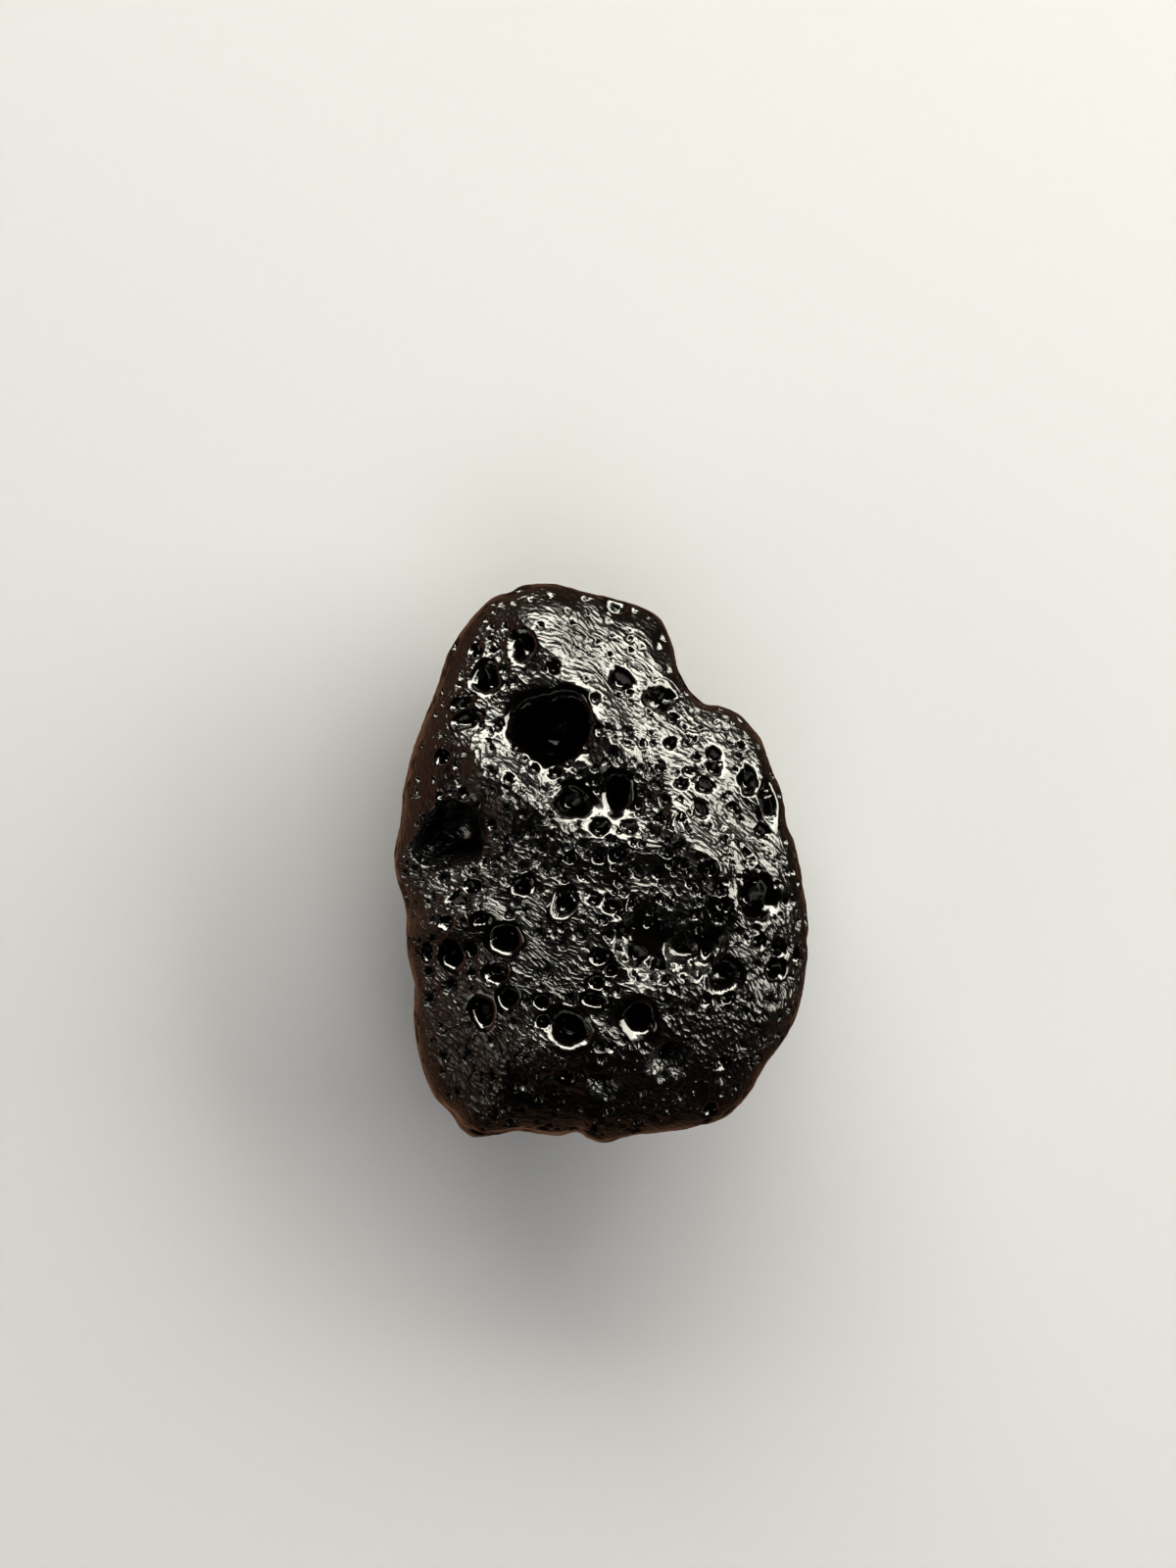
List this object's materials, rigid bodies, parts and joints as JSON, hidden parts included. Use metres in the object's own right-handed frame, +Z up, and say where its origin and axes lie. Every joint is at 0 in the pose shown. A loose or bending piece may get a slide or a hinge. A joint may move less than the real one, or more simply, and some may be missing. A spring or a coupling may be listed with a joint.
{
  "type": "tektite",
  "caption": "Small rounded lump of black natural glass, deeply pitted all over by round bubbles, lying on a small flat spot.",
  "frame": {"origin": "middle of the bounding box, on the surface that the stone rests on", "axes": "+Z up out of the pitted face, +Y along the stone towards its narrow end"},
  "size_m": [0.0128, 0.0172, 0.0088],
  "materials": {
    "impact_glass": "glossy black natural glass, finely wrinkled, with a faint brown tint"
  },
  "bodies": {
    "root": {"tektite": "impact_glass"}
  },
  "joints": []
}
